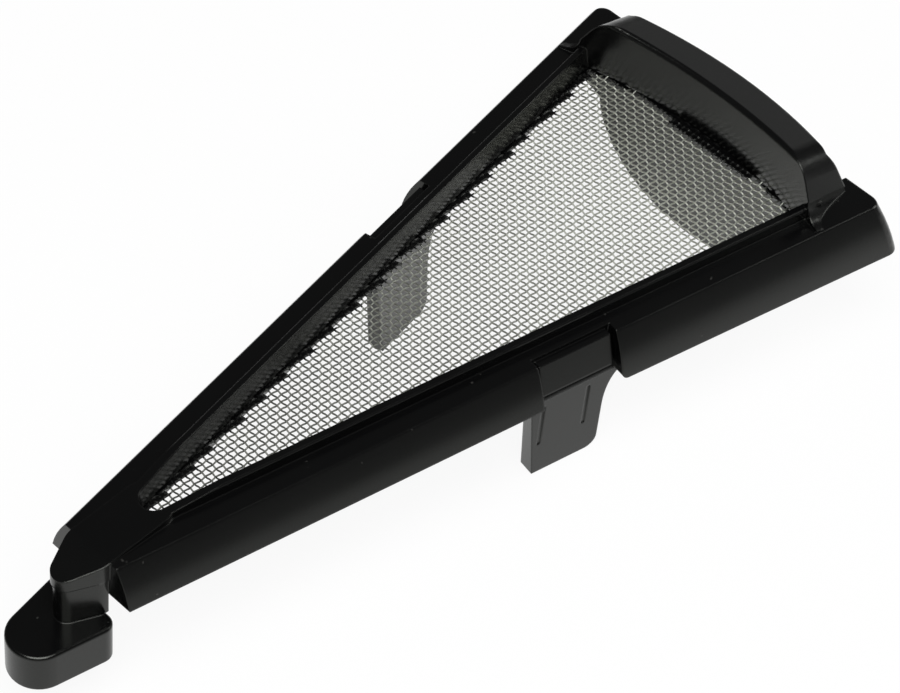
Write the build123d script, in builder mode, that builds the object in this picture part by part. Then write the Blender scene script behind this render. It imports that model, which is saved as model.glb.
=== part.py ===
from build123d import *
import os
from math import atan2, cos, degrees, floor, radians, sin, tan

os.makedirs("parts", exist_ok=True)

# A wedge-shaped filter that stands in a kettle's spout: a black plastic frame around a window
# of woven wire cloth. Lengths are in millimetres. X runs from the foot at the narrow end to the
# curved wall at the wide end, Z is up, and the origin is below the middle of the part, at the
# level of the clip legs' lower ends.

# Lengths along the part, end to end
foot_reach = 8.8
tip_bridge = 6.2
window_length = 69.9
wing_overhang = 8.5

# Heights and depths from the plane of the wire cloth
lip_rise = 2.5
shelf_rise = 1.25
inner_drop = 1.0
wing_drop_tip = 2.95
wing_drop_notch = 3.6
wing_drop_wide = 4.4
leg_drop = 14.9

# Section of a rail, outwards from the edge of the window
rail_angle = 10.3
lip_draft = 0.5
lip_width = 0.75
shelf_reach = 3.5
side_flare = 19.0
side_bulge = 0.35
rail_edge_radius = 0.25

# Window and wire cloth
window_tip_radius = 1.0
window_bulge = 1.8
cloth_thickness = 0.4
cloth_margin = 0.9
seat_clearance = 0.05
wire_pitch = 2.65
wire_width = 0.7
wire_ridge = 0.1

# Curved wall at the wide end, with its rim and apron
wall_rise = 6.4
wall_thickness = 1.6
rim_depth = 4.6
rim_bulge = 2.4
rim_thickness = 3.2
rim_slope = 16
rim_edge_radius = 0.4
rim_end_half = 12.6
rim_end_inset = 1.0
wall_half_top = 12.8
wall_corner_radius = 3.4
cove_radius = 2.0
apron_drop = 13.0
apron_half = 12.0
apron_corner_drop = 2.6
end_flare = 16
horn_radius = 1.2

# Clip legs, in the notches of the wings
leg_start = 43.3
leg_width = 8.0
leg_lead = 0.35
leg_shoulder_width = 9.7
leg_shoulder_drop = 5.0
leg_waist_drop = 9.3
leg_foot_width = 7.4
leg_foot_inset = 1.0
leg_thickness = 1.2
leg_foot_thickness = 1.7
leg_reach = 4.5
leg_step = 1.3
leg_foot_reach = 3.05
leg_top_reach = 3.2
leg_top_rise = 0.8
leg_corner_radius = 1.3
notch_reach = 2.4
notch_gap = 0.4
notch_corner_radius = 0.8
band_drop = 2.1
band_width = 1.0
band_depth = 0.3
groove_width = 0.4
groove_depth = 0.12
groove_inset = 1.3
groove_spacing = 5.1
groove_drop = 5.4
groove_length = 5.4

# Nose, pillar and foot at the narrow end
nose_reach = 4.1
nose_rise = 0.35
nose_shoulder_rise = 1.35
nose_slope_length = 6.0
nose_tip_radius = 1.4
nose_half_width = 2.5
nose_thickness = 0.9
pillar_inset = 0.2
foot_length = 8.6
foot_tip_radius = 2.95
foot_half_width = 3.8
foot_corner_radius = 1.2
foot_top_drop = 5.4
foot_thickness = 4.5
foot_edge_radius = 0.3

# Cutters reach past what they cut by this much
overcut = 1.0

# Places that follow from these
overall_length = foot_reach + tip_bridge + window_length + wing_overhang
foot_end_x = -overall_length / 2
wing_tip_x = foot_end_x + foot_reach
window_tip_x = wing_tip_x + tip_bridge
window_far_x = window_tip_x + window_length
wing_end_x = window_far_x + wing_overhang
nose_tip_x = wing_tip_x - nose_reach
cloth_z = leg_drop
shelf_z = cloth_z + shelf_rise
rail_sin = sin(radians(rail_angle))
rail_cos = cos(radians(rail_angle))
rail_slope = tan(radians(rail_angle))
flare_slope = tan(radians(side_flare))
apex_x = window_tip_x + window_tip_radius - window_tip_radius / rail_sin
window_half = (window_far_x - apex_x) * rail_slope
wall_half_base = window_half + lip_draft + lip_width
wall_end_half = wall_half_base + 2 * cove_radius
wall_radius = (window_half**2 + window_bulge**2) / (2 * window_bulge)
wall_apex_x = window_far_x + window_bulge
wall_center_x = wall_apex_x - wall_radius
rim_radius = (window_half**2 + rim_bulge**2) / (2 * rim_bulge)
rim_center_x = wall_apex_x + rim_depth - rim_radius
horn_x = wing_end_x - (shelf_rise + wing_drop_wide) * tan(radians(end_flare))
section_drop = wing_drop_wide + overcut
wing_reach = shelf_reach + (shelf_rise + wing_drop_wide) * flare_slope
side_middle_reach = (shelf_reach + wing_reach) / 2 + side_bulge * cos(radians(side_flare))
side_middle_rise = (shelf_rise - wing_drop_wide) / 2 + side_bulge * sin(radians(side_flare))
notch_start_x = apex_x + (leg_start - notch_gap) * rail_cos
bead_width = band_width / 3
block_drop = band_drop + band_width
plate_reach = leg_reach - leg_step
groove_floor_reach = (plate_reach + leg_foot_reach) / 2 - groove_depth


def rail_plane(distance):
    """The plane across the left rail, at a distance along it from the window's apex.

    Its x runs outwards from the window's edge and its y up from the cloth.
    """
    return Plane(
        origin=(apex_x + distance * rail_cos, distance * rail_sin, cloth_z),
        x_dir=(-rail_sin, rail_cos, 0),
        z_dir=(rail_cos, rail_sin, 0),
    )


def leg_face_plane(reach):
    """The upright plane along the left rail, at a reach outwards from the window's edge.

    Its x runs along the rail from the start of the leg and its y up from the cloth.
    """
    return Plane(
        origin=(
            apex_x + leg_start * rail_cos - reach * rail_sin,
            leg_start * rail_sin + reach * rail_cos,
            cloth_z,
        ),
        x_dir=(rail_cos, rail_sin, 0),
        z_dir=(rail_sin, -rail_cos, 0),
    )


# The outline of the window: straight sides that meet in a round tip, and a curved far end
with BuildSketch() as window:
    with BuildLine():
        Polyline((window_far_x, window_half), (apex_x, 0), (window_far_x, -window_half))
        ThreePointArc((window_far_x, -window_half), (wall_apex_x, 0), (window_far_x, window_half))
    make_face()
    fillet(window.vertices().sort_by(Axis.X)[0], window_tip_radius)

# Left rail: a lip beside the window, a flat shelf outside it and a rounded side that flares out
# as it goes down
with BuildPart() as rail:
    with BuildSketch(rail_plane(0)) as rail_section:
        with BuildLine():
            Polyline(
                (-window_tip_radius, -inner_drop),
                (-window_tip_radius, lip_rise),
                (lip_draft + lip_width, lip_rise),
                (lip_draft + lip_width, shelf_rise),
                (shelf_reach, shelf_rise),
            )
            ThreePointArc(
                (shelf_reach, shelf_rise),
                (side_middle_reach, side_middle_rise),
                (wing_reach, -wing_drop_wide),
            )
            Polyline(
                (wing_reach, -wing_drop_wide),
                (wing_reach, -section_drop),
                (section_drop - inner_drop, -section_drop),
                (0, -inner_drop),
                (-window_tip_radius, -inner_drop),
            )
        make_face()
        fillet(rail_section.vertices().group_by(Axis.Y)[-1].sort_by(Axis.X)[-1], rail_edge_radius)
    extrude(amount=overall_length, both=True)
    split(bisect_by=Plane.XZ, keep=Keep.BOTTOM)
    split(bisect_by=Plane.YZ.offset(wing_tip_x), keep=Keep.TOP)
    end_tilt = radians(end_flare)
    end_plane = Plane(
        origin=(wing_end_x, 0, cloth_z - wing_drop_wide),
        z_dir=(cos(end_tilt), 0, sin(end_tilt)),
    )
    split(bisect_by=end_plane, keep=Keep.BOTTOM)
    # Behind the wall the lip ends and only the wing goes on, to a rounded horn
    with BuildSketch(Plane.XY.offset(shelf_z)):
        with Locations((window_far_x + wall_thickness, 0)):
            Rectangle(wing_overhang, 2 * wing_end_x, align=(Align.MIN, Align.CENTER))
    extrude(amount=lip_rise, mode=Mode.SUBTRACT)
    fillet(rail.faces().sort_by(Axis.X)[-1].edges().sort_by(Axis.Y)[-1], horn_radius)
    outwards = Axis((apex_x, 0, 0), (-rail_sin, rail_cos, 0))
    shelf = rail.faces().filter_by(Axis.Z).group_by(Axis.Z)[-2]
    fillet(shelf.edges().sort_by(outwards)[-1], rail_edge_radius)
    # The underside is level up to the notch and slopes down from there to the wide end
    with BuildSketch(Plane.XZ):
        with BuildLine():
            Polyline(
                (wing_tip_x - overcut, cloth_z - wing_drop_tip),
                (notch_start_x, cloth_z - wing_drop_tip),
                (notch_start_x, cloth_z - wing_drop_notch),
                (wing_end_x, cloth_z - wing_drop_wide),
                (wing_end_x + overcut, cloth_z - wing_drop_wide),
                (wing_end_x + overcut, cloth_z - section_drop - overcut),
                (wing_tip_x - overcut, cloth_z - section_drop - overcut),
                close=True,
            )
        make_face()
    extrude(amount=overall_length, both=True, mode=Mode.SUBTRACT)
    # The notch that the clip leg stands in
    with BuildSketch(rail_plane(leg_start - notch_gap)):
        with Locations((notch_reach, 0)):
            Rectangle(
                wing_reach,
                2 * (section_drop + lip_rise),
                align=(Align.MIN, Align.CENTER),
            )
    extrude(amount=leg_width + 2 * notch_gap, mode=Mode.SUBTRACT)
    along = Axis((apex_x, 0, 0), (rail_cos, rail_sin, 0))
    notch_end = rail.faces().filter_by(along).sort_by(along)[-1]
    fillet(notch_end.edges().sort_by(Axis.Z)[0], notch_corner_radius)

# Left clip leg: a block in the notch, and a plate that is set back from its face and runs down
with BuildPart() as leg:
    with BuildSketch(rail_plane(leg_start - leg_lead)):
        with BuildLine():
            Polyline(
                (notch_reach - leg_thickness, leg_top_rise),
                (leg_top_reach, leg_top_rise),
                (leg_reach, -block_drop),
                (plate_reach, -block_drop),
                (leg_foot_reach, -leg_drop),
                (leg_foot_reach - leg_foot_thickness, -leg_drop),
                (plate_reach - leg_thickness, -wing_drop_notch - leg_thickness),
                (notch_reach - leg_thickness, -inner_drop),
                close=True,
            )
        make_face()
    extrude(amount=leg_lead + leg_shoulder_width)
    # Its outline from the side: the plate is wider at its shoulder and draws in to the foot
    with BuildSketch(leg_face_plane(leg_reach)) as leg_outline:
        with BuildLine():
            Polyline(
                (leg_shoulder_width, -leg_shoulder_drop),
                (leg_shoulder_width, -block_drop),
                (leg_width, -block_drop),
                (leg_width, lip_rise),
                (0, lip_rise),
                (0, -block_drop),
                (-leg_lead, -block_drop),
                (leg_foot_inset, -leg_drop),
                (leg_foot_inset + leg_foot_width, -leg_drop),
                (leg_foot_inset + leg_foot_width, -leg_waist_drop),
            )
            Spline(
                (leg_foot_inset + leg_foot_width, -leg_waist_drop),
                (leg_shoulder_width, -leg_shoulder_drop),
                tangents=((0, 1), (1, 1)),
            )
        make_face()
        foot_corners = leg_outline.vertices().group_by(Axis.Y)[0].sort_by(Axis.X)
        fillet(foot_corners[-1], leg_corner_radius)
    extrude(amount=2 * leg_reach, both=True, mode=Mode.INTERSECT)
    # A band sunk across it, with a bead left along its middle, and two upright grooves below
    with BuildSketch(leg_face_plane(leg_reach - band_depth)):
        with Locations((0, -band_drop)):
            Rectangle(leg_width, bead_width, align=(Align.MIN, Align.MAX))
        with Locations((0, -band_drop - 2 * bead_width)):
            Rectangle(leg_width, bead_width, align=(Align.MIN, Align.MAX))
    extrude(amount=-leg_reach, mode=Mode.SUBTRACT)
    with BuildSketch(leg_face_plane(groove_floor_reach)):
        with Locations((groove_inset + groove_spacing / 2, -groove_drop - groove_length / 2)):
            with GridLocations(groove_spacing, 0, 2, 1):
                SlotOverall(groove_length, groove_width, rotation=90)
    extrude(amount=-leg_reach, mode=Mode.SUBTRACT)

# Wide end: a curved wall that reaches from the rim down to the apron
with BuildSketch(Plane.YZ) as wall_front:
    with BuildLine():
        top_z = cloth_z + wall_rise + window_bulge * tan(radians(rim_slope))
        Polyline(
            (-wall_half_base, shelf_z + cove_radius),
            (-wall_half_top, top_z),
            (wall_half_top, top_z),
            (wall_half_base, shelf_z + cove_radius),
        )
        TangentArc(
            (wall_half_base, shelf_z + cove_radius),
            (wall_half_base + cove_radius, shelf_z),
            tangent=(0, -1),
        )
        Polyline(
            (wall_half_base + cove_radius, shelf_z),
            (wall_half_base, cloth_z - inner_drop),
            (apron_half, cloth_z - apron_corner_drop),
        )
        ThreePointArc(
            (apron_half, cloth_z - apron_corner_drop),
            (0, cloth_z - apron_drop),
            (-apron_half, cloth_z - apron_corner_drop),
        )
        Polyline(
            (-apron_half, cloth_z - apron_corner_drop),
            (-wall_half_base, cloth_z - inner_drop),
            (-wall_half_base - cove_radius, shelf_z),
        )
        TangentArc(
            (-wall_half_base, shelf_z + cove_radius),
            (-wall_half_base - cove_radius, shelf_z),
            tangent=(0, -1),
        )
    make_face()
    fillet(wall_front.vertices().group_by(Axis.Y)[-1], wall_corner_radius)

with BuildPart() as end_wall:
    # The rim stands out over the wall's outside and follows the sloped ends down to the wings
    with BuildSketch():
        with Locations((rim_center_x, 0)):
            Circle(rim_radius)
        with Locations((wall_center_x, 0)):
            Circle(wall_radius, mode=Mode.SUBTRACT)
        with Locations((window_far_x, 0)):
            Rectangle(2 * wing_overhang, 2 * wall_end_half, mode=Mode.INTERSECT)
    extrude(amount=top_z + overcut)
    rim_tilt = radians(rim_slope)
    rim_plane = Plane(
        origin=(wall_apex_x, 0, cloth_z + wall_rise),
        z_dir=(sin(rim_tilt), 0, cos(rim_tilt)),
    )
    split(bisect_by=rim_plane, keep=Keep.BOTTOM)
    rim_arcs = end_wall.faces().sort_by(Axis.Z)[-1].edges().filter_by(GeomType.LINE, reverse=True)
    fillet(rim_arcs, rim_edge_radius)
    # Towards the ends it spreads out along the wings, as far as the horns
    with BuildPart(mode=Mode.PRIVATE) as rim_end:
        with BuildSketch():
            Polygon(
                (window_far_x, rim_end_half),
                (rim_center_x + (rim_radius**2 - rim_end_half**2) ** 0.5, rim_end_half),
                (horn_x - rim_end_inset, wall_half_base + rim_end_inset),
                (horn_x - rim_end_inset, wall_end_half),
                (window_far_x, wall_end_half),
                align=None,
            )
            with Locations((wall_center_x, 0)):
                Circle(wall_radius, mode=Mode.SUBTRACT)
        extrude(amount=top_z + overcut)
        split(bisect_by=rim_plane, keep=Keep.BOTTOM)
    add(rim_end.part)
    add(mirror(rim_end.part, about=Plane.XZ, mode=Mode.PRIVATE))
    # Below the rim is a pocket
    with BuildSketch(Plane.YZ):
        offset(wall_front.sketch, amount=-rim_thickness)
        Rectangle(2 * wing_end_x, cloth_z, align=(Align.CENTER, Align.MIN))
    extrude(amount=overall_length, mode=Mode.SUBTRACT)
    with BuildSketch():
        with Locations((wall_center_x, 0)):
            Circle(wall_radius + wall_thickness)
            Circle(wall_radius, mode=Mode.SUBTRACT)
        with Locations((window_far_x, 0)):
            Rectangle(2 * wing_overhang, 2 * wall_end_half, mode=Mode.INTERSECT)
    extrude(amount=top_z - rim_thickness / 2)
    # Its outline from the front runs outwards along the slope of the rim
    extrude(
        wall_front.sketch.moved(Location((window_far_x, 0, 0))),
        amount=wing_overhang,
        dir=(cos(rim_tilt), 0, -sin(rim_tilt)),
        both=True,
        mode=Mode.INTERSECT,
    )

# Nose over the narrow end, with the pillar below it
with BuildSketch() as nose_outline:
    with Locations((nose_tip_x + nose_tip_radius, 0)):
        Circle(nose_tip_radius)
    with Locations((wing_tip_x, 0), (window_tip_x, 0)):
        Circle(nose_half_width)
    make_hull()

with BuildPart() as nose:
    with BuildSketch(Plane.XY.offset(cloth_z - nose_thickness)):
        add(nose_outline.sketch)
    extrude(amount=nose_thickness + lip_rise)
    with BuildSketch(Plane.XY.offset(cloth_z - foot_top_drop)):
        offset(nose_outline.sketch, amount=-pillar_inset)
        with Locations((wing_tip_x, 0)):
            Rectangle(
                foot_length,
                2 * foot_half_width,
                align=(Align.MAX, Align.CENTER),
                mode=Mode.INTERSECT,
            )
    extrude(amount=foot_top_drop)

# Foot: a thick rounded plate under the pillar
with BuildPart() as foot:
    with BuildSketch(Plane.XY.offset(cloth_z - foot_top_drop - foot_thickness)) as foot_outline:
        with Locations((foot_end_x + foot_tip_radius, 0)):
            Circle(foot_tip_radius)
        with Locations((foot_end_x + foot_length - foot_corner_radius, 0)):
            with GridLocations(0, 2 * (foot_half_width - foot_corner_radius), 1, 2):
                Circle(foot_corner_radius)
        make_hull()
    extrude(amount=foot_thickness)
    fillet(foot.faces().sort_by(Axis.Z)[-1].edges(), foot_edge_radius)
    fillet(foot.faces().sort_by(Axis.Z)[0].edges(), foot_edge_radius)

# The frame is one moulding of all of these
with BuildPart() as filter_frame:
    add(rail.part)
    mirror(about=Plane.XZ)
    add(nose.part)
    # The window goes straight down through the rails, and its walls lean back above the cloth
    with BuildSketch(Plane.XY.offset(cloth_z)):
        add(window.sketch)
    extrude(amount=-section_drop, mode=Mode.SUBTRACT)
    with BuildSketch(Plane.XY.offset(cloth_z)):
        add(window.sketch)
    extrude(amount=lip_rise, taper=-degrees(atan2(lip_draft, lip_rise)), mode=Mode.SUBTRACT)
    # The top slopes down from the lips to the end of the nose
    with BuildSketch(Plane.XZ):
        with BuildLine():
            Polyline(
                (nose_tip_x, cloth_z + nose_rise),
                (wing_tip_x, cloth_z + nose_shoulder_rise),
                (window_tip_x + nose_slope_length, cloth_z + lip_rise),
                (nose_tip_x, cloth_z + 2 * lip_rise),
                close=True,
            )
        make_face()
    extrude(amount=overall_length, both=True, mode=Mode.SUBTRACT)
    add(end_wall.part)
    add(foot.part)
    add(leg.part)
    add(mirror(leg.part, about=Plane.XZ, mode=Mode.PRIVATE))
    # The seat that holds the margin of the cloth
    with BuildSketch(Plane.XY.offset(cloth_z - cloth_thickness / 2)):
        offset(window.sketch, amount=cloth_margin + seat_clearance)
    extrude(amount=cloth_thickness, mode=Mode.SUBTRACT)

filter_frame.part.label = "filter_frame"
export_step(filter_frame.part, "parts/filter_frame.step")

# Wire cloth: a sheet with square gaps, whose wires stand proud along the part above and across it below
gap = wire_pitch - wire_width
columns = floor(window_length / wire_pitch)
rows = floor(window_half / wire_pitch)
gap_centers = []
for column in range(columns):
    center_x = window_far_x - wire_width - gap / 2 - column * wire_pitch
    room = (center_x - gap / 2 - apex_x) * rail_slope - wire_width / 2
    for row in range(-rows, rows + 1):
        if abs(row) * wire_pitch + gap / 2 < room:
            gap_centers.append((center_x, row * wire_pitch))

with BuildPart() as mesh_screen:
    with BuildSketch(Plane.XY.offset(cloth_z - cloth_thickness / 2)):
        offset(window.sketch, amount=cloth_margin)
        with Locations(gap_centers):
            Rectangle(gap, gap, mode=Mode.SUBTRACT)
    extrude(amount=cloth_thickness)
    with BuildSketch(Plane.XY.offset(cloth_z + cloth_thickness / 2)):
        with GridLocations(0, wire_pitch, 1, 2 * rows + 2):
            Rectangle(2 * overall_length, wire_width)
        offset(window.sketch, amount=-seat_clearance, mode=Mode.INTERSECT)
    extrude(amount=wire_ridge)
    with BuildSketch(Plane.XY.offset(cloth_z - cloth_thickness / 2)):
        for column in range(columns + 1):
            with Locations((window_far_x - wire_width / 2 - column * wire_pitch, 0)):
                Rectangle(wire_width, 2 * wing_end_x)
        offset(window.sketch, amount=-seat_clearance, mode=Mode.INTERSECT)
    extrude(amount=-wire_ridge)

mesh_screen.part.label = "mesh_screen"
export_step(mesh_screen.part, "parts/mesh_screen.step")
print("gaps in the cloth:", len(gap_centers))
print("overall length:", round(overall_length, 2))
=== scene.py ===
# %% [markdown]
# # A limescale filter for a kettle
#
# A wedge of black plastic holds a window of fine woven wire in the spout of a kettle. The plastic
# frame comes ready made from the imported CAD part, and is loaded first, because everything else is
# placed around it.

# %% Load the imported part
from math import cos, radians, sin, sqrt, tan

import bmesh
import bpy
from mathutils import Matrix, Vector, noise


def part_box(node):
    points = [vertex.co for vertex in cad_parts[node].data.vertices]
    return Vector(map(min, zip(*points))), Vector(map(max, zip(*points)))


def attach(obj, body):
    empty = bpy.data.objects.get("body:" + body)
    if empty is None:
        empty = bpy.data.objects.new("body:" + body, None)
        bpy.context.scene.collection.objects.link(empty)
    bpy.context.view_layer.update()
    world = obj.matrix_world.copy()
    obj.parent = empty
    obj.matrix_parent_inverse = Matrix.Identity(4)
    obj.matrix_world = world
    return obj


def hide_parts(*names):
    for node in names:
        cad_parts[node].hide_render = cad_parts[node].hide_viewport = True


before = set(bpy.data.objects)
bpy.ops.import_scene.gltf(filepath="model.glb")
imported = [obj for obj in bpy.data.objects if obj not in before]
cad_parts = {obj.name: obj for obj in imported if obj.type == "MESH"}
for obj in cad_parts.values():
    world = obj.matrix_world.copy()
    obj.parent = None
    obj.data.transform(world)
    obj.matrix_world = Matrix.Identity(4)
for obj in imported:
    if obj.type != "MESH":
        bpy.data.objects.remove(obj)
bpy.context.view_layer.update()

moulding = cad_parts["filter_frame"]
scene = bpy.context.scene
mm = 0.001

# %% [markdown]
# ## The camera
#
# The photograph looks down on the filter from its narrow end with a long lens. The camera could be
# placed by typing a location and three angles, but it is easier to read as a chain of moves: start
# at a point on the cloth, turn, tip and roll, and then step back along the camera's own axis.
# Multiplying the matrices in that order does this.

# %% Place the camera
cloth_low, cloth_high = (Vector(corner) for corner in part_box("mesh_screen"))
cloth_level = (cloth_low.z + cloth_high.z) / 2
view_target = Vector((2.05 * mm, -3.31 * mm, cloth_level))
view_azimuth = radians(-49.8)
view_elevation = radians(47.81)
view_roll = radians(6.33)
view_distance = 307.3 * mm
lens_length = 136.0
sensor_width = 36.0
nearest_seen = 10 * mm

camera_data = bpy.data.cameras.new("photo_camera")
camera_data.lens = lens_length
camera_data.sensor_width = sensor_width
camera_data.clip_start = nearest_seen
camera = bpy.data.objects.new("photo_camera", camera_data)
scene.collection.objects.link(camera)
camera.matrix_world = (
    Matrix.Translation(view_target)
    @ Matrix.Rotation(view_azimuth, 4, "Z")
    @ Matrix.Rotation(radians(90) - view_elevation, 4, "X")
    @ Matrix.Rotation(view_roll, 4, "Z")
    @ Matrix.Translation((0, 0, view_distance))
)
scene.camera = camera
print("camera at", tuple(round(c / mm, 1) for c in camera.matrix_world.translation), "mm")

# %% [markdown]
# ## Nodes by name
#
# Every finish below is a small network of shader nodes. Nodes could be placed and joined by hand in
# the shader editor, but a script makes the same network each time. Three helpers keep it short: one
# adds a node and sets its inputs by name, one joins an output to an input, and one starts a
# material.


# %% Helpers for shader nodes
def add_node(tree, kind, settings=None, **inputs):
    """Add a node, set its properties from settings and its inputs by their names."""
    node = tree.nodes.new(kind)
    for name, value in (settings or {}).items():
        setattr(node, name, value)
    for name, value in inputs.items():
        node.inputs[name.replace("_", " ")].default_value = value
    return node


def join(tree, source, output, target, socket):
    """Link one node's output to another node's input."""
    tree.links.new(source.outputs[output], target.inputs[socket])


def new_material(name):
    """Start a node material, and give it with its node tree and its Principled shader."""
    material = bpy.data.materials.new(name)
    material.use_nodes = True
    return material, material.node_tree, material.node_tree.nodes["Principled BSDF"]


print("helpers: add_node, join and new_material")

# %% [markdown]
# ## Unevenness, shared by plastic and steel
#
# No real surface is the same all over. Moulded plastic carries slow changes in gloss from the way
# it cooled and a fine tooth from the mould, and drawn wire has dull and bright stretches. Both come
# from noise at two sizes, so one node group makes them, and each finish uses it in its own way. A
# group may put out only values that change over the surface, so it gives two masks from 0 to 1.

# %% Build the unevenness group
uneven = bpy.data.node_groups.new("uneven_surface", "ShaderNodeTree")
group_sockets = {"Broad Scale": "INPUT", "Fine Scale": "INPUT", "Broad": "OUTPUT", "Fine": "OUTPUT"}
for socket_name, way in group_sockets.items():
    uneven.interface.new_socket(socket_name, in_out=way, socket_type="NodeSocketFloat")
group_in = add_node(uneven, "NodeGroupInput")
group_out = add_node(uneven, "NodeGroupOutput")
place = add_node(uneven, "ShaderNodeTexCoord")
for socket_name, detail in (("Broad", 3.0), ("Fine", 2.0)):
    grain = add_node(uneven, "ShaderNodeTexNoise", Detail=detail, Roughness=0.55)
    join(uneven, place, "Object", grain, "Vector")
    join(uneven, group_in, socket_name + " Scale", grain, "Scale")
    join(uneven, grain, "Fac", group_out, socket_name)
print("group", uneven.name, "with", len(uneven.nodes), "nodes")

# %% [markdown]
# Each finish places the group with its own two sizes. Most of the noise lies in the middle of its
# range, so a Map Range node stretches that middle part over the roughness that the finish should
# have.

# %% Helpers for uneven finishes
noise_low = 0.3
noise_high = 0.7


def add_unevenness(tree, broad_scale, fine_scale):
    """Place the group in a material with its own two sizes."""
    node = add_node(tree, "ShaderNodeGroup", {"node_tree": uneven})
    node.inputs["Broad Scale"].default_value = broad_scale
    node.inputs["Fine Scale"].default_value = fine_scale
    return node


def vary_roughness(tree, mask, shader, smooth, dull):
    """Let one of the masks move the shader's roughness between smooth and dull."""
    gloss = add_node(tree, "ShaderNodeMapRange", From_Min=noise_low, From_Max=noise_high)
    gloss.inputs["To Min"].default_value = smooth
    gloss.inputs["To Max"].default_value = dull
    tree.links.new(mask, gloss.inputs["Value"])
    join(tree, gloss, "Result", shader, "Roughness")


print("noise from", noise_low, "to", noise_high, "is spread over each roughness")

# %% [markdown]
# ## Black plastic
#
# The frame is one satin black moulding. Almost all that the eye sees on it is reflection: upright
# faces mirror the white table and look grey, and faces that look up mirror a darker room and stay
# black. So the base colour is nearly black, and the care goes into the gloss: broad noise moves the
# roughness, fine noise gives a faint tooth through a Bump node, and a Bevel node rounds the way
# that light falls on the hard edges, as a mould's small radii do.

# %% Make the plastic
plastic, tree, shader = new_material("satin_black_plastic")
shader.inputs["IOR"].default_value = 1.46
shader.inputs["Specular Tint"].default_value = (0.97, 1.0, 0.93, 1)
surface = add_unevenness(tree, broad_scale=90.0, fine_scale=3200.0)
vary_roughness(tree, surface.outputs["Broad"], shader, smooth=0.17, dull=0.24)

soft_edge = add_node(tree, "ShaderNodeBevel", {"samples": 6}, Radius=0.22 * mm)
tooth = add_node(tree, "ShaderNodeBump", Strength=0.12, Distance=0.02 * mm)
join(tree, surface, "Fine", tooth, "Height")
join(tree, soft_edge, "Normal", tooth, "Normal")
join(tree, tooth, "Normal", shader, "Normal")

moulding.data.materials.clear()
moulding.data.materials.append(plastic)
print("plastic on", moulding.name)

# %% [markdown]
# Specks of dust lie here and there on the plastic. They could be small pieces of their own, but
# they have no thickness to speak of, so the colour is enough: the highest peaks of a fine noise
# count as specks, and a Mix node turns the black a little lighter there. Several sockets of a Mix
# node share one name, so they are found by their identifiers.

# %% Scatter the dust
bare_black = (0.002, 0.002, 0.0022, 1)
dust_grey = (0.03, 0.03, 0.028, 1)


def by_identifier(sockets):
    """A Mix node's sockets by their identifiers."""
    return {socket.identifier: socket for socket in sockets}


place = add_node(tree, "ShaderNodeTexCoord")
dust = add_node(tree, "ShaderNodeTexNoise", Scale=1400.0, Detail=1.0)
join(tree, place, "Object", dust, "Vector")
specks = add_node(tree, "ShaderNodeMapRange", From_Min=0.78, From_Max=0.84)
join(tree, dust, "Fac", specks, "Value")
tint = add_node(tree, "ShaderNodeMix", {"data_type": "RGBA"})
colours = by_identifier(tint.inputs)
colours["A_Color"].default_value = bare_black
colours["B_Color"].default_value = dust_grey
tree.links.new(specks.outputs["Result"], colours["Factor_Float"])
tree.links.new(by_identifier(tint.outputs)["Result_Color"], shader.inputs["Base Color"])
print("dust on", plastic.name, "with", len(tree.nodes), "nodes")

# %% [markdown]
# ## The wire cloth
#
# The window is filled with plain weave: wires along the filter and wires across it pass over and
# under each other in turn. First the window is measured. It is a wedge with straight sides, a
# narrow tip and an arc at the wide end, and its box is the box of the plain sheet that the CAD part
# has there, less the margin that is hidden in the frame.

# %% Measure the window
weave_pitch = 0.635 * mm
wire_radius = 0.088 * mm
hidden_margin = 0.9 * mm
tip_radius = 1.0 * mm
far_bulge = 1.8 * mm
window_tip = cloth_low.x + hidden_margin
window_far = cloth_high.x - hidden_margin - far_bulge
rail_angle = radians(10.3)
seat_depth = 0.55 * mm

window_apex = window_tip + tip_radius - tip_radius / sin(rail_angle)
half_width = (window_far - window_apex) * tan(rail_angle)
far_radius = (half_width**2 + far_bulge**2) / (2 * far_bulge)
far_centre = window_far + far_bulge - far_radius


def edge_beside(x):
    """How far the window reaches to each side of the middle line, at x."""
    return (x - window_apex) * tan(rail_angle)


def near_edge(y):
    """Where a wire along the filter starts, at y from the middle line."""
    return max(window_apex + abs(y) / tan(rail_angle), window_tip)


def far_edge(y):
    """Where a wire along the filter ends, at y from the middle line."""
    return far_centre + sqrt(far_radius**2 - y**2)


print("window", round((window_far - window_tip) / mm, 1), "mm long")
print("half width", round(half_width / mm, 2), "mm")

# %% [markdown]
# A flat sheet with a picture of a weave would not let light through between the wires, so each wire
# is a real one. A NURBS curve suits it: one control point at each crossing, alternately high and
# low, and the curve rounds the bends by itself. A quadratic NURBS swings half as far as its control
# points, so they stand twice as far out as the wire does. The cloth isn't perfectly flat: it was
# laid in the mould by hand and waves a little. Smooth noise from mathutils lifts and shifts the
# wires. Its noise_vector starts from the clock unless it is given a seed, so a seed is set, and the
# model doesn't change from one run to the next.

# %% Bend a wire
noise_seed = 7
noise.seed_set(noise_seed)
control_swing = 2 * wire_radius
ripple_height = 0.09 * mm
ripple_size = 14 * mm
sway = 0.03 * mm
sway_size = 5 * mm


def wire_point(column, row, way):
    """A control point at a crossing, for a wire along the filter (way 1) or across it (-1)."""
    spot = Vector((window_tip + column * weave_pitch, row * weave_pitch, 0))
    wave = noise.noise(spot / ripple_size) * ripple_height
    drift = noise.noise_vector(spot / sway_size) * sway
    side = way if (column + row) % 2 else -way
    rise = cloth_level + wave + side * control_swing
    return (spot.x + drift.x, spot.y + drift.y, rise, 1.0)


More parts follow.
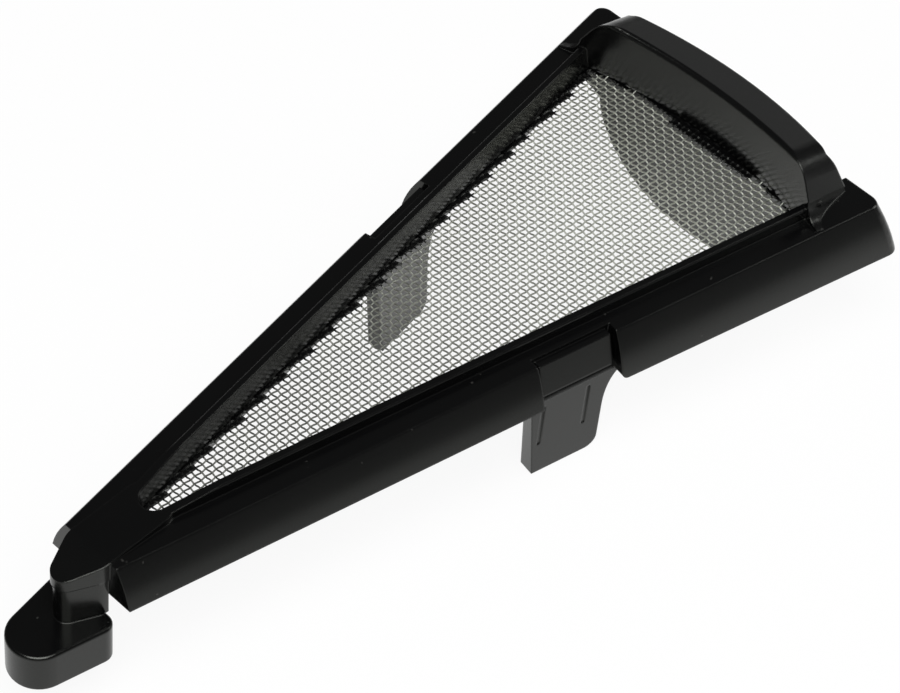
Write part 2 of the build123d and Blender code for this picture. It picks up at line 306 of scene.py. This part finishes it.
def add_wire(curve, points):
    """Add one wire to the curve as a NURBS spline through its crossings."""
    spline = curve.splines.new("NURBS")
    spline.points.add(len(points) - 1)
    for control, point in zip(spline.points, points):
        control.co = point
    spline.order_u = 3
    spline.use_endpoint_u = True
    spline.resolution_u = 2
    spline.use_smooth = True


print("control points swing", round(control_swing / mm, 3), "mm to each side")

# %% [markdown]
# Each wire runs from one edge of the window to the other and a little further, into the seat that
# holds it. All of them are splines of one curve, whose round bevel makes them tubes. Stumps of wire
# at the tip that would cross too few others are left out.

# %% Lay all the wires
shortest_along = 3
shortest_across = 2
weave = bpy.data.curves.new("weave", "CURVE")
weave.dimensions = "3D"
weave.bevel_depth = wire_radius
weave.bevel_resolution = 1
weave.use_fill_caps = True
side_wires = int((half_width + seat_depth) / weave_pitch)
for row in range(-side_wires, side_wires + 1):
    y = row * weave_pitch
    start = near_edge(max(abs(y) - seat_depth, 0)) - seat_depth
    first = round((start - window_tip) / weave_pitch)
    last = int((far_edge(y) + seat_depth - window_tip) / weave_pitch)
    if last - first >= shortest_along:
        add_wire(weave, [wire_point(column, row, 1) for column in range(first, last + 1)])
long_wires = len(weave.splines)
last_column = int((window_far + far_bulge + seat_depth - window_tip) / weave_pitch)
for column in range(1, last_column + 1):
    x = window_tip + column * weave_pitch
    last = int((edge_beside(x) + seat_depth) / weave_pitch)
    if 2 * last >= shortest_across:
        add_wire(weave, [wire_point(column, row, -1) for row in range(-last, last + 1)])
print("wires along:", long_wires, "wires across:", len(weave.splines) - long_wires)

# %% [markdown]
# A curve with a bevel is a tube only while it is drawn. The finished piece has to be a mesh at the
# origin, so the curve is turned into one, and the curve is thrown away. The new mesh stands for the
# plain sheet that the CAD part has in the window.

# %% Turn the wires into a mesh
weave_object = bpy.data.objects.new("weave", weave)
scene.collection.objects.link(weave_object)
bpy.context.view_layer.update()
graph = bpy.context.evaluated_depsgraph_get()
cloth_mesh = bpy.data.meshes.new_from_object(weave_object.evaluated_get(graph))
bpy.data.objects.remove(weave_object)
bpy.data.curves.remove(weave)
cloth = bpy.data.objects.new("woven_cloth", cloth_mesh)
scene.collection.objects.link(cloth)
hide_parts("mesh_screen")
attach(cloth, "root")
triangles = sum(len(face.vertices) - 2 for face in cloth_mesh.polygons)
print("cloth:", triangles, "triangles")

# %% [markdown]
# ## Painted shade in the margin of the cloth
#
# Shade under the cloth shows through the weave along the window as a black edge with steps in it.
# It is painted shade: black plastic fills whole cells of the weave there. By the curved wall the
# band is wider than along the rails, and smooth noise makes the edge a little patchy. Two tests
# decide
# where it goes: one for a cell, and one for a spot on a wire, which is coated if a cell beside it
# is filled.

# %% Decide where the painted shade goes
side_shade_reach = 0.44 * mm
patchiness = 0.4
patch_size = 2.2 * mm
far_shade_reach = 1.5 * mm
far_shade_middle = -1.2 * mm
far_shade_half = 6.7 * mm
shade_sheet_top = 0.06 * mm
shade_sheet_level = cloth_level + shade_sheet_top
coat_reach = 2 * wire_radius


def is_shade_cell(spot):
    """Whether black plastic fills the cell around this spot as painted shade."""
    side_room = (edge_beside(spot.x) - abs(spot.y)) * cos(rail_angle)
    far_room = far_edge(spot.y) - spot.x
    if min(side_room, far_room, spot.x - window_tip) < -seat_depth:
        return False
    swell = 1 - ((spot.y - far_shade_middle) / far_shade_half) ** 2
    patchy = side_shade_reach * (1 + patchiness * noise.noise(spot / patch_size))
    return side_room < patchy or far_room < far_shade_reach * max(swell, 0)


def is_beside_shade_cell(spot):
    """Whether painted shade fills a cell on either side of the wire at this spot."""
    for x in (spot.x - coat_reach, spot.x + coat_reach):
        for y in (spot.y - coat_reach, spot.y + coat_reach):
            column = (x - window_tip) // weave_pitch + 0.5
            row = y // weave_pitch + 0.5
            middle = (window_tip + column * weave_pitch, row * weave_pitch, shade_sheet_level)
            if is_shade_cell(Vector(middle)):
                return True
    return False


# the side band of painted shade reaches this far in from the rails
print("plastic creeps", round(side_shade_reach / mm, 2), "mm in from the rails")

# %% [markdown]
# The painted shade filling could be cut out of a sheet, but a grid with one face for each cell is
# an
# easier start: the faces of the open cells are deleted, and the rest are thickened downwards.

# %% Fill the cells
shade_sheet_depth = 0.26 * mm
cell_rows = 2 * side_wires
grid_size = Vector((last_column * weave_pitch, cell_rows * weave_pitch, 1))
grid_middle = Vector((window_tip + grid_size.x / 2, 0, shade_sheet_level))
shape = bmesh.new()
bmesh.ops.create_grid(shape, x_segments=last_column, y_segments=cell_rows, size=0.5)
bmesh.ops.scale(shape, vec=grid_size, verts=shape.verts)
bmesh.ops.translate(shape, vec=grid_middle, verts=shape.verts)
open_cells = [face for face in shape.faces if not is_shade_cell(face.calc_center_median())]
bmesh.ops.delete(shape, geom=open_cells, context="FACES")
# these black cells are painted shade
print("plastic fills", len(shape.faces), "cells")

grown = bmesh.ops.extrude_face_region(shape, geom=shape.faces[:])
moved = [item for item in grown["geom"] if isinstance(item, bmesh.types.BMVert)]
bmesh.ops.translate(shape, vec=(0, 0, -shade_sheet_depth), verts=moved)
bmesh.ops.recalc_face_normals(shape, faces=shape.faces)

# %% [markdown]
# The same painted shade lies as a black film over the wires that border on it. Those stretches of
# the weave are copied, closed at their ends and swollen outwards along their normals. Film and
# filling then become one piece.

# %% Coat the wires beside them
shade_film_thickness = 0.015 * mm
shade_film = bmesh.new()
shade_film.from_mesh(cloth_mesh)
bare = [face for face in shade_film.faces if not is_beside_shade_cell(face.calc_center_median())]
bmesh.ops.delete(shade_film, geom=bare, context="FACES")
bmesh.ops.holes_fill(shade_film, edges=shade_film.edges[:])
shade_film.normal_update()
for vertex in shade_film.verts:
    vertex.co += vertex.normal * shade_film_thickness
# these faces of wire carry the painted shade
print("plastic coats", len(shade_film.faces), "faces of wire")

shade_sheet_mesh = bpy.data.meshes.new("painted_shade_in_cloth")
shade_film.to_mesh(shade_sheet_mesh)
shade_film.free()
shape.from_mesh(shade_sheet_mesh)
shape.to_mesh(shade_sheet_mesh)
shape.free()
# the painted shade sheet uses the black plastic
shade_sheet = bpy.data.objects.new("painted_shade_in_cloth", shade_sheet_mesh)
scene.collection.objects.link(shade_sheet)
shade_sheet_mesh.materials.append(plastic)
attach(shade_sheet, "root")

# %% [markdown]
# ## Stainless wire
#
# Drawn stainless wire is a metal, so its colour is its reflection: Metallic is 1 and the base
# colour is the steel's own grey with a touch of warm green. The wires look dark at the narrow tip
# and bright at the wide end because of how the light falls there, and that is painted into the
# colour: painted shade towards the tip and painted light towards the wide end, following the place
# along the filter, read from the X of the Object coordinates. The shared noise varies it a little
# along the wires, and moves their roughness from spot to spot. Three more helpers read a place, do
# sums and make a ramp.


# %% Helpers for places, sums and ramps
def add_place(tree, space):
    """Add nodes that split the coordinates of one space into X, Y and Z."""
    place = add_node(tree, "ShaderNodeTexCoord")
    split = add_node(tree, "ShaderNodeSeparateXYZ")
    join(tree, place, space, split, "Vector")
    return split


def add_math(tree, operation, *terms):
    """Add a sum whose terms are numbers or other nodes' outputs, and give its output."""
    node = add_node(tree, "ShaderNodeMath", {"operation": operation})
    for socket, term in zip(node.inputs, terms):
        if isinstance(term, float):
            socket.default_value = term
        else:
            tree.links.new(term, socket)
    return node.outputs["Value"]


def add_ramp(tree, value, *stops):
    """Add a ramp between two stops, each a position and a colour, and give its output."""
    node = add_node(tree, "ShaderNodeValToRGB")
    for element, (position, colour) in zip(node.color_ramp.elements, stops):
        element.position = position
        element.color = colour
    tree.links.new(value, node.inputs["Fac"])
    return node.outputs["Color"]


print("helpers: add_place, add_math and add_ramp")

# %% [markdown]
# The place along the filter, from 0 at the tip to 1 at the wide end, and a share of the noise are
# added up, and the ramp turns the sum into a grey: painted shade at the tip, painted light at the
# wide end, with a random mottle from the noise.

# %% Make the steel
# painted shade at the tip of the wires and painted light at the wide end
painted_shade_steel = (0.16, 0.163, 0.145, 1)
painted_light_steel = (0.52, 0.53, 0.475, 1)
noise_share = 0.35

steel, tree, shader = new_material("stainless_wire")
shader.inputs["Metallic"].default_value = 1.0
surface = add_unevenness(tree, broad_scale=180.0, fine_scale=5000.0)
place = add_place(tree, "Object")
along = add_node(tree, "ShaderNodeMapRange", From_Min=window_tip, From_Max=window_far)
join(tree, place, "X", along, "Value")
broad, fine = surface.outputs["Broad"], surface.outputs["Fine"]
# the place along the filter paints light and shade, and the noise adds a random mottle
mottle_and_painted_light = add_math(tree, "MULTIPLY_ADD", broad, noise_share, along.outputs["Result"])
shade = add_ramp(tree, mottle_and_painted_light, (0.3, painted_shade_steel), (1.0, painted_light_steel))
tree.links.new(shade, shader.inputs["Base Color"])
vary_roughness(tree, fine, shader, smooth=0.38, dull=0.55)
cloth.data.materials.clear()
cloth.data.materials.append(steel)
print("steel on", cloth.name, "with", len(tree.nodes), "nodes")

# %% [markdown]
# ## The table
#
# The filter lies on a plain white table, which is one large square.

# %% Lay the table
floor_half = 3.0
corner_signs = [(-1, -1), (1, -1), (1, 1), (-1, 1)]
corners = [(x * floor_half, y * floor_half, 0) for x, y in corner_signs]
floor_mesh = bpy.data.meshes.new("table")
floor_mesh.from_pydata(corners, [], [(0, 1, 2, 3)])
floor = bpy.data.objects.new("table", floor_mesh)
scene.collection.objects.link(floor)
print("table", 2 * floor_half, "m across")

# %% [markdown]
# A lit white table renders a little grey, so for rays from the camera most of its light comes from
# an emission of strength 1, which is white. The rest is an ordinary matt surface, which keeps a
# soft shadow under the part. A Light Path node tells the kinds of ray apart, and each kind adds its
# own share of the emission.

# %% Make the table white
glow_shares = {"Is Camera Ray": 0.92, "Is Glossy Ray": 1.0, "Is Transmission Ray": 0.92}
paper, tree, shader = new_material("white_table")
shader.inputs["Base Color"].default_value = (0.9, 0.9, 0.9, 1)
shader.inputs["Roughness"].default_value = 0.9
shader.inputs["Specular IOR Level"].default_value = 0.0
glow = add_node(tree, "ShaderNodeEmission", Color=(1, 1, 1, 1))
rays = add_node(tree, "ShaderNodeLightPath")
share = 0.0
for ray, ray_share in glow_shares.items():
    share = add_math(tree, "MULTIPLY_ADD", rays.outputs[ray], ray_share, share)
mix = add_node(tree, "ShaderNodeMixShader")
tree.links.new(share, mix.inputs["Fac"])
tree.links.new(shader.outputs["BSDF"], mix.inputs[1])
tree.links.new(glow.outputs["Emission"], mix.inputs[2])
join(tree, mix, "Shader", tree.nodes["Material Output"], "Surface")
floor.data.materials.append(paper)
print("white on", floor.name)

# %% [markdown]
# The plastic mirrors the table too, and in the photograph the upright faces fade from grey near the
# table to black higher up. That means a pool of light that is bright close to the part and falls
# off around it, so for rays that bounce off plastic or steel the emission fades with the distance
# from the part's sides. A wide, soft pool and a narrow core right beside the part add up to it.


# %% Fade the mirrored light
def add_fade(tree, distance, kind, near, far, strong, weak):
    """Fade from strong at the near distance to weak at the far one, and give the output."""
    node = add_node(tree, "ShaderNodeMapRange", {"interpolation_type": kind})
    ends = {"From Min": near, "From Max": far, "To Min": strong, "To Max": weak}
    for socket_name, value in ends.items():
        node.inputs[socket_name].default_value = value
    tree.links.new(distance, node.inputs["Value"])
    return node.outputs["Result"]


place = add_place(tree, "Object")
sideways = add_math(tree, "ABSOLUTE", place.outputs["Y"])
past_side = add_math(tree, "MULTIPLY_ADD", place.outputs["X"], -tan(rail_angle), sideways)
pool = add_fade(tree, past_side, "SMOOTHSTEP", near=12 * mm, far=90 * mm, strong=0.82, weak=0.22)
core = add_fade(tree, past_side, "LINEAR", near=0.0, far=10 * mm, strong=0.5, weak=0.0)
strength = add_node(tree, "ShaderNodeMix")
choices = by_identifier(strength.inputs)
choices["A_Float"].default_value = 1.0
tree.links.new(rays.outputs["Is Glossy Ray"], choices["Factor_Float"])
tree.links.new(add_math(tree, "ADD", pool, core), choices["B_Float"])
tree.links.new(by_identifier(strength.outputs)["Result_Float"], glow.inputs["Strength"])
print("mirrored light fades on", paper.name, "with", len(tree.nodes), "nodes")

# %% [markdown]
# ## Light
#
# A product photograph of a black part is lit softly, with a dark room above so that the upper faces
# stay black. The room is the world's background, a little lighter towards the horizon and dark
# overhead: a ramp that follows the height of the direction in which a ray leaves.

# %% Light the room
horizon_grey = (0.2, 0.2, 0.2, 1)
overhead_grey = (0.07, 0.07, 0.07, 1)
world = bpy.data.worlds.new("studio")
scene.world = world
world.use_nodes = True
tree = world.node_tree
direction = add_place(tree, "Generated")
sweep = add_ramp(tree, direction.outputs["Z"], (0.0, horizon_grey), (0.3, overhead_grey))
tree.links.new(sweep, tree.nodes["Background"].inputs["Color"])
print("world", world.name, "with", len(tree.nodes), "nodes")

# %% [markdown]
# Large area lamps give the soft light, because a small lamp would leave hard dots on the gloss. The
# main one hangs above the camera, where no level face can mirror it back, one stands to the side,
# and a faint low one behind the part shines along the sloping top of the rim.


# %% Hang the lamps
def add_lamp(name, azimuth, elevation, distance, size, power):
    """Hang a square area lamp that looks at the part from a direction in degrees."""
    data = bpy.data.lights.new(name, "AREA")
    data.size = size
    data.energy = power
    lamp = bpy.data.objects.new(name, data)
    scene.collection.objects.link(lamp)
    turn, tip = radians(azimuth), radians(elevation)
    back = Vector((sin(turn) * cos(tip), -cos(turn) * cos(tip), sin(tip)))
    aim = back.to_track_quat("Z", "Y").to_matrix().to_4x4()
    lamp.matrix_world = Matrix.Translation(view_target + back * distance) @ aim


add_lamp("main_softbox", azimuth=-50, elevation=65, distance=0.7, size=0.5, power=5.5)
add_lamp("side_softbox", azimuth=60, elevation=35, distance=0.8, size=0.4, power=1.5)
add_lamp("back_softbox", azimuth=118, elevation=21, distance=0.7, size=0.3, power=0.06)

# %% [markdown]
# ## The view transform
#
# The colours are shown with the Standard view transform.

# %% Set the view transform
scene.view_settings.view_transform = "Standard"
